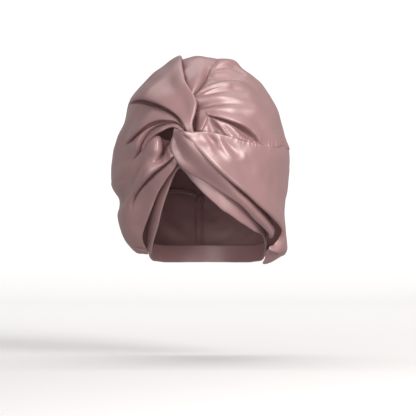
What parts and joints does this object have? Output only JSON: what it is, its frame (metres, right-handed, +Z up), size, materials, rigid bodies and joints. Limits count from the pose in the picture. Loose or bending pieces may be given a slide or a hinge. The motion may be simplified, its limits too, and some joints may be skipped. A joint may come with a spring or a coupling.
{
  "type": "sleep bonnet",
  "caption": "Soft satin sleep bonnet, worn form: a puffed two-part crown gathered into a knot at the front, crossed side panels and an elasticated head band.",
  "frame": {"origin": "the point inside the crown where the top of the wearer's head rests, with the bonnet in its worn form", "axes": "+Z up, the knot and the face opening towards -Y, +X to the wearer's left"},
  "size_m": [0.1998, 0.2449, 0.2338],
  "materials": {
    "satin": "dusty rose satin, glossy with soft sheen",
    "elastic_satin": "dusty rose satin over a flat elastic, softer sheen"
  },
  "bodies": {
    "root": {"crown_left": "satin", "crown_right": "satin", "band_right": "satin", "band_roll": "satin", "band_left": "satin", "head_band": "elastic_satin"}
  },
  "joints": []
}
